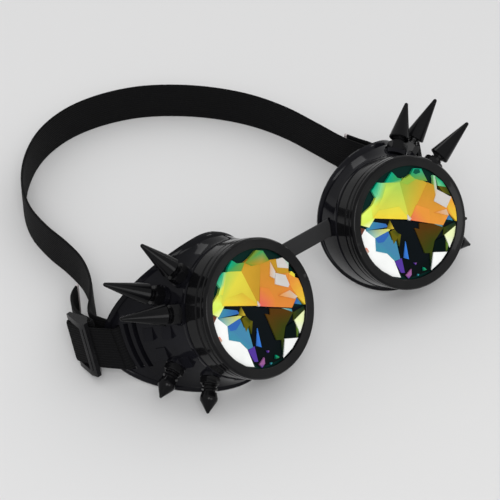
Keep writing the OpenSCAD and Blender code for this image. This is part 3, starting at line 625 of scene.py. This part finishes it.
# %% Build both lenses
def make_lens(side_name, side, fan):
    """Base disc and shards of one lens: a point's height over the girdle is taken from the depth of
    the girdle behind the ring's front."""
    points, faces, tones = disc_points, list(disc_faces), np.repeat([PINE], len(disc_points), 0)
    for layer, (corners, corner_tones) in enumerate(LOWER + fan):
        shard_points, shard_faces, shard_tones = shard_prism(corners, corner_tones, layer)
        faces += [[int(corner) + len(points) for corner in face] for face in shard_faces]
        points, tones = np.vstack([points, shard_points]), np.vstack([tones, shard_tones])
    placed = cup_point(points[:, 0] * side, points[:, 1], LENS_Q - points[:, 2], side)
    mesh = bpy.data.meshes.new(side_name + "_cut_lens")
    mesh.from_pydata(placed.tolist(), [], faces)
    attribute = mesh.attributes.new("shard_tone", "FLOAT_COLOR", "POINT")
    attribute.data.foreach_set("color", np.c_[tones, np.ones(len(tones))].astype(np.float32).ravel())
    mesh.materials.append(lens_mat)
    piece = bpy.data.objects.new(side_name + "_cut_lens", mesh)
    bpy.context.scene.collection.objects.link(piece)
    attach(piece, side_name + "_lens")
    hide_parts(side_name + "_crystal_lens")
    print(piece.name, "faces:", len(mesh.polygons))


make_lens("left", -1, LEFT_FAN)
make_lens("right", 1, RIGHT_FAN)

# %% [markdown]
# The strap is one flat elastic band. Its route repeats the CAD source: from the tail, through the
# slider and round its rear bar, through the wing slot and back, then round behind the head to
# the other side. The band is a rounded section carried along that route.

# %% Place of the slider
STRAP_W, STRAP_T, GAP, SEAT = 0.0192, 0.0013, 0.0003, 0.00015
SLIDER_X, SLIDER_Y, SLIDER_LONG, SLIDER_TALL, BAR_T = 0.0953, 0.0536, 0.0152, 0.026, 0.002
SLIDER_LEAN, SLIDER_YAW = math.radians(18), math.radians(8)
slider_z = SLIDER_TALL / 2 * math.cos(SLIDER_LEAN) + SLIDER_LONG / 2 * math.sin(SLIDER_LEAN) + GAP
SLIDER_AT = np.array([SLIDER_X, SLIDER_Y - MID_Y, slider_z])
FORWARD = np.array([-math.sin(SLIDER_YAW), -math.cos(SLIDER_YAW) * math.cos(SLIDER_LEAN),
                    math.cos(SLIDER_YAW) * math.sin(SLIDER_LEAN)])
OUTWARD = np.array([math.cos(SLIDER_YAW), -math.sin(SLIDER_YAW) * math.cos(SLIDER_LEAN),
                    math.sin(SLIDER_YAW) * math.sin(SLIDER_LEAN)])
print("middle of the right slider in mm:", (SLIDER_AT * 1000).round(1))

# %% [markdown]
# A fold is an arc in the slider's own plane: the tail turns back on itself, and the band turns
# round the rear bar at half the bar's thickness plus half its own, with a hair of room between.

# %% Turns in the slider
LAYER = BAR_T / 2 + SEAT + STRAP_T / 2
FOLD_BACK, EXIT_BACK, FOLD_STEPS, BAR_STEPS = 0.0065, 0.002, 8, 10


def arc(centre, radius, start, stop, count):
    """Points on an arc in a plane, angles in degrees; radius is (across, along)."""
    angle = np.radians(np.linspace(start, stop, count + 1))
    return np.c_[centre[0] + radius[0] * np.cos(angle), centre[1] + radius[1] * np.sin(angle)]


tail_fold = arc((-LAYER - STRAP_T, SLIDER_LONG / 2 - FOLD_BACK), (STRAP_T, STRAP_T), 180, 0, FOLD_STEPS)
bar_turn = arc((0, -SLIDER_LONG / 2 + BAR_T / 2), (LAYER, LAYER), 180, 360, BAR_STEPS)
turns = np.vstack([tail_fold, bar_turn, [(LAYER, 0), (LAYER, SLIDER_LONG / 2 - EXIT_BACK)]])
slider_points = SLIDER_AT + np.outer(turns[:, 0], OUTWARD) + np.outer(turns[:, 1], FORWARD)
print("keys in the slider:", len(slider_points))

# %% [markdown]
# Round the wing's end bar the band makes a flat U-turn. The wing bows a little between the band's
# edges, so the turn is wider than the wall is thick.

# %% Turn round the wing's end bar
WALL, END_BAR, BAR_ROUND, SLOT_V = 0.002, 0.0085, 0.001, 0.0002
RIM_Q, RIM_U, RIM_V, RIM_TEMPLE, RIM_HALF = 0.0604, 0.0025, 0.0008, 0.038, 0.0334
WALL_Q, BEAD_R, FLARE = 0.0161, 0.02965, 1.25
TURN_START, TURN_STOP, TURN_STEPS = 15, -165, 8
slot_end_q = RIM_Q - END_BAR
wing_share = (slot_end_q - WALL_Q) / (RIM_Q - WALL_Q)
wing_u = BEAD_R + (RIM_U + RIM_TEMPLE - BEAD_R) * wing_share ** FLARE
bow = RIM_TEMPLE * (1 - math.sqrt(1 - ((STRAP_W / 2 + SLOT_V - RIM_V) / RIM_HALF) ** 2))
half_turn = (WALL + bow) / 2
wing_turn = arc((wing_u - half_turn, slot_end_q), (half_turn + GAP + STRAP_T / 2, BAR_ROUND + STRAP_T / 2),
                TURN_START, TURN_STOP, TURN_STEPS)
wing_points = cup_point(wing_turn[:, 0], np.full(len(wing_turn), SLOT_V), wing_turn[:, 1])
print("bow of the wing in mm:", round(bow * 1000, 2))

# %% [markdown]
# The rest of the band stands on edge on the table. Its points are seen from above and were chosen
# along the strap in the photograph, in millimetres, with y counted back from the rings.
# A tail runs from its tip to the slider.

# %% Loop and tails
MM = 0.001
LEAN_Y, LEAN_RUN = SLIDER_Y + 0.008, 0.025
LIFT, LIFT_Y, LIFT_RUN = 0.0022, SLIDER_Y + 0.0044, 0.03
LEFT_TAIL = np.array([(78.6, 82.6), (84.2, 78.4), (88.2, 71.4), (90, 64)]) * MM
RIGHT_TAIL = np.array([(86.6, 88), (88.4, 80), (90, 72), (91, 64)]) * MM
LOOP = np.array([(-86.5, 60), (-79.5, 70), (-72, 82), (-66.5, 96), (-65, 110), (-65, 125),
                 (-62.5, 142), (-55, 158.5), (-41.5, 175), (-24, 187.5), (-5, 193.2), (14, 192.4),
                 (34, 185.5), (50.5, 173.5), (63.5, 159), (73.5, 142), (79.5, 123), (82, 104),
                 (84, 86), (86.5, 70), (87.5, 60)]) * MM


def eased(share):
    """Smooth step: 0 before 0, 1 after 1, and three squares less two cubes between."""
    share = np.clip(share, 0, 1)
    return share * share * (3 - 2 * share)


def table_keys(plan):
    """Route keys [x, y, z, lean] of plan points. The band's middle stands half its width over the
    table, and LIFT more near the cups. It leans as the slider does beside it, and not at all behind."""
    lift = LIFT * (1 - eased((plan[:, 1] - LIFT_Y) / LIFT_RUN))
    lean = SLIDER_LEAN * (1 - eased((plan[:, 1] - LEAN_Y) / LEAN_RUN))
    return np.c_[plan[:, 0], plan[:, 1] - MID_Y, STRAP_W / 2 + lift, lean]


def leaning(points, lean):
    """Route keys of points that share one lean."""
    return np.c_[points, np.full(len(points), lean)]


end_turns = np.vstack([leaning(slider_points, SLIDER_LEAN), leaning(wing_points, LEAN)])
left_end = np.vstack([table_keys(LEFT_TAIL), end_turns]) * [-1, 1, 1, 1]
right_end = np.vstack([table_keys(RIGHT_TAIL), end_turns])
keys = np.vstack([left_end, table_keys(LOOP), right_end[::-1]])
print("route keys:", len(keys))

# %% [markdown]
# A smooth curve has to pass through every key, close ones at the folds and far ones behind the
# head alike. A cubic for each span does that, if its end slopes allow for the uneven distances.

# %% Curve through the keys
SHORTEST = 1e-6


def curve_through(keys, per_span):
    """Smooth curve through keys at uneven distances. A knot is the square root of a distance, and
    each span is a cubic whose end slopes come from the three keys about each end."""
    padded = np.vstack([keys[:1], keys, keys[-1:]])
    distance = np.linalg.norm(np.diff(padded[:, :3], axis=0), axis=1)
    knot = np.sqrt(np.maximum(SHORTEST, distance))[:, None]
    k0, k1, k2, k3 = (padded[i:len(padded) - 3 + i] for i in range(4))
    before, here, after = (knot[i:len(knot) - 2 + i] for i in range(3))
    slope1 = here * ((k1 - k0) / before - (k2 - k0) / (before + here)) + k2 - k1
    slope2 = here * ((k3 - k2) / after - (k3 - k1) / (here + after)) + k2 - k1
    t = (np.arange(per_span) / per_span)[None, :, None]
    k1, k2, slope1, slope2 = (value[:, None, :] for value in (k1, k2, slope1, slope2))
    square = 3 * (k2 - k1) - 2 * slope1 - slope2
    cube = 2 * (k1 - k2) + slope1 + slope2
    line = k1 + slope1 * t + square * t ** 2 + cube * t ** 3
    return np.vstack([line.reshape(-1, keys.shape[1]), keys[-1:]])


STRAP_SPAN = 5
strap_line = curve_through(keys, STRAP_SPAN)[:, :3]
STRAP_RUN = float(np.linalg.norm(np.diff(strap_line, axis=0), axis=1).sum())
print("length of the strap in mm:", round(STRAP_RUN * 1000))

# %% [markdown]
# Webbing has soft edges, so its section is a rounded rectangle. It is carried along the curve, and
# a UV map runs along the band in metres and across it from 0 to 1, for the ribs to follow.

# %% Band along a route
SECTION_POINTS, ACROSS_POWER, HEIGHT_POWER = 28, 0.45, 0.18


def band_section(width, thick):
    """Rounded section as (across, height): a superellipse, where the cosine and the sine keep their
    signs and are raised to low powers."""
    angle = np.arange(SECTION_POINTS) * 2 * np.pi / SECTION_POINTS
    cosine, sine = np.cos(angle), np.sin(angle)
    across = np.sign(cosine) * np.abs(cosine) ** ACROSS_POWER * thick / 2
    height = np.sign(sine) * np.abs(sine) ** HEIGHT_POWER * width / 2
    return across, height


def band_grid(keys, width, thick, per_span):
    """Points, faces and UV of a closed band: at each point of the curve the section's height runs
    along the lean, and its thickness square to that and to the route."""
    line = curve_through(keys, per_span)
    centre, lean = line[:, :3], line[:, 3]
    rise = np.c_[np.zeros(len(line)), np.sin(lean), np.cos(lean)]
    out = np.cross(np.gradient(centre, axis=0), rise)
    out /= np.linalg.norm(out, axis=1)[:, None]
    across, height = band_section(width, thick)
    round_count, long_count = len(across), len(line)
    points = centre[:, None] + across[None, :, None] * out[:, None] + height[None, :, None] * rise[:, None]
    i, j = np.meshgrid(np.arange(long_count - 1), np.arange(round_count), indexing="ij")
    here, there, turned = i * round_count, (i + 1) * round_count, (j + 1) % round_count
    quads = np.stack([here + j, there + j, there + turned, here + turned], -1).reshape(-1, 4)
    total = long_count * round_count
    caps = [list(range(round_count)), list(range(total - 1, total - round_count - 1, -1))]
    run = np.concatenate([[0], np.cumsum(np.linalg.norm(np.diff(centre, axis=0), axis=1))])
    uv = np.stack([np.repeat(run, round_count), np.tile(height / width + 0.5, long_count)], -1)
    return points.reshape(-1, 3), quads.tolist() + caps, uv


# %% [markdown]
# The grid becomes a mesh with smooth faces. Its normals are recalculated, because a route may run
# either way round.

# %% Make a band
def make_band(name, keys, width, thick, per_span):
    """Object of a band along the keys, with its UV map."""
    points, faces, uv = band_grid(keys, width, thick, per_span)
    mesh = bpy.data.meshes.new(name)
    mesh.from_pydata(points.tolist(), [], faces)
    corners = np.zeros(len(mesh.loops), np.int32)
    mesh.loops.foreach_get("vertex_index", corners)
    layer = mesh.uv_layers.new(name="band_uv")
    layer.data.foreach_set("uv", uv[corners].astype(np.float32).ravel())
    piece = bpy.data.objects.new(name, mesh)
    bpy.context.scene.collection.objects.link(piece)
    shape = bmesh.new()
    shape.from_mesh(mesh)
    bmesh.ops.recalc_face_normals(shape, faces=shape.faces)
    for face in shape.faces:
        face.smooth = True
    shape.to_mesh(mesh)
    shape.free()
    print(name, "faces:", len(mesh.polygons))
    return piece


# %% [markdown]
# Woven elastic has fine ribs along its length and thinner crossing yarns. The ribs follow the
# UV map's second direction, so they bend with the band. Both are sine waves that drive a bump,
# and the ribs also paint shade: the black is lighter on their tops and darker in the valleys
# between them, where shade falls.

# %% Webbing finish
RIBS, YARNS_PER_METRE, YARN_SHARE, WEAVE_H = 16, 900, 0.25, 0.00018
VALLEY_SHADE_BLACK, RIB_BLACK = (0.001, 0.001, 0.0013), (0.0034, 0.0034, 0.0038)


def math_node(nodes, links, operation, *values):
    """Math node of the given operation. Each value is a number or another node's output."""
    node = nodes.new("ShaderNodeMath")
    node.operation = operation
    for socket, value in zip(node.inputs, values):
        if isinstance(value, (int, float)):
            socket.default_value = value
        else:
            links.new(value, socket)
    return node.outputs[0]


def stripes(nodes, links, value, count):
    """Stripes from 0 to 1: the sine of count turns over each unit of the value, moved up and halved."""
    turns = math_node(nodes, links, "MULTIPLY", value, count * 2 * math.pi)
    return map_range(nodes, links, math_node(nodes, links, "SINE", turns), 0, 1, start=-1)


web_mat, nodes, links = new_material("ribbed_elastic")
shader = nodes["Principled BSDF"]
uv_map = nodes.new("ShaderNodeUVMap")
uv_map.uv_map = "band_uv"
split = nodes.new("ShaderNodeSeparateXYZ")
links.new(uv_map.outputs["UV"], split.inputs["Vector"])
along_band, over_band = split.outputs["X"], split.outputs["Y"]
ribs = stripes(nodes, links, over_band, RIBS)
yarns = stripes(nodes, links, along_band, YARNS_PER_METRE)
weave = math_node(nodes, links, "MULTIPLY_ADD", yarns, YARN_SHARE, ribs)
fuzz = noise(nodes, links, object_space(nodes), scale=900)
# Painted shade: the valleys between the ribs are darker and the rib tops lighter.
web_black = ramp(nodes, links, ribs, [(0.0, VALLEY_SHADE_BLACK), (1.0, RIB_BLACK)])
links.new(map_range(nodes, links, fuzz, low=0.75, high=0.95), shader.inputs["Roughness"])
links.new(bump(nodes, links, weave, strength=0.8, distance=WEAVE_H), shader.inputs["Normal"])
shader.inputs["Specular IOR Level"].default_value = 0.12
shader.inputs["Sheen Weight"].default_value = 0.01
shader.inputs["Sheen Roughness"].default_value = 0.5
print("webbing: ribs", RIBS, "yarns per metre", YARNS_PER_METRE)

# %% [markdown]
# The last stretch at each end of the band is coloured pale. The run is folded back at half the
# length, so one limit marks both ends.

# %% Pale ends
PALE_END_RUN, PALE_END_TONE = 0.0014, (0.55, 0.5, 0.5, 1)
from_end = math_node(nodes, links, "PINGPONG", along_band, STRAP_RUN / 2)
pale_end_mix = nodes.new("ShaderNodeMix")
pale_end_mix.data_type = "RGBA"
pale_end_mix.inputs["A"].default_value = PALE_END_TONE
links.new(math_node(nodes, links, "GREATER_THAN", from_end, PALE_END_RUN), pale_end_mix.inputs["Factor"])
links.new(web_black, pale_end_mix.inputs["B"])
links.new(pale_end_mix.outputs["Result"], shader.inputs["Base Color"])
print("pale ends in mm:", round(PALE_END_RUN * 1000, 1))

# %% [markdown]
# Both cups hold the strap, so it can't ride on one body alone. It is built where it lies at rest
# and stays on no body.

# %% Build the strap
strap = make_band("elastic_strap", keys, STRAP_W, STRAP_T, STRAP_SPAN)
strap.data.materials.append(web_mat)
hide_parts("head_strap")
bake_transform(strap)

# %% [markdown]
# The bridge of the real goggles is a satin strip that flexes when they fold. Here it is a rounded
# section carried straight across in several steps, built where it lies at rest and on no body.

# %% Build the bridge
BRIDGE_W, BRIDGE_T, BRIDGE_KEYS, BRIDGE_SPAN = 0.0075, 0.0016, 9, 4
bridge_low, bridge_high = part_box("nose_bridge")
half = float(bridge_high.x)
bridge_mid = (bridge_low + bridge_high) / 2
bridge_keys = np.array([[x, bridge_mid.y, bridge_mid.z, LEAN] for x in np.linspace(-half, half, BRIDGE_KEYS)])
bridge = make_band("bridge_strip", bridge_keys, BRIDGE_W, BRIDGE_T, BRIDGE_SPAN)
bridge.data.materials.append(bridge_black)
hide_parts("nose_bridge")
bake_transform(bridge)

# %% [markdown]
# The view transform stays plain, so a colour on the object renders about as it is written.

# %% Finish
bpy.context.scene.view_settings.view_transform = "Standard"
